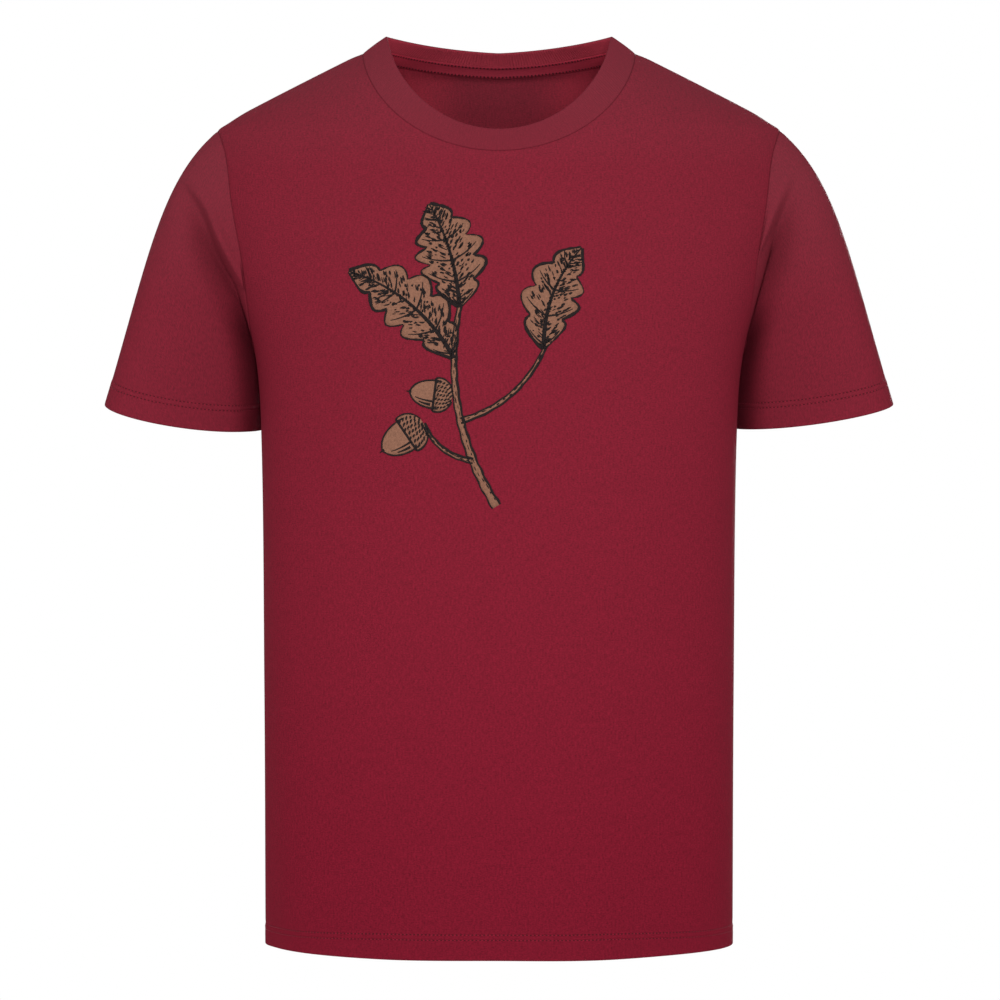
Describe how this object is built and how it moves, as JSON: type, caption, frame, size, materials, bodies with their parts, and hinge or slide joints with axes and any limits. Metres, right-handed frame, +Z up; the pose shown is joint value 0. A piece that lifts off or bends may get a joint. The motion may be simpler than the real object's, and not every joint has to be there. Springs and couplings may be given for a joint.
{
  "type": "t-shirt",
  "caption": "Short-sleeved crew-neck T-shirt in cotton jersey, hollow and worn-shaped, with rib neckband, taped back neck and stitched hems.",
  "frame": {"origin": "midway between the two points where the shoulder seams meet the neck rib", "axes": "+Z up towards the neck, +X towards the wearer's left, -Y out of the chest"},
  "size_m": [0.637, 0.2369, 0.7273],
  "materials": {
    "jersey": "matte cotton jersey knit, burgundy",
    "rib": "matte one-by-one rib knit, burgundy",
    "tape": "matte woven tape, burgundy"
  },
  "bodies": {
    "root": {"front_panel": "jersey", "back_panel": "jersey", "sleeve_left": "jersey", "sleeve_right": "jersey", "neck_rib": "rib", "neck_tape": "tape"}
  },
  "joints": []
}
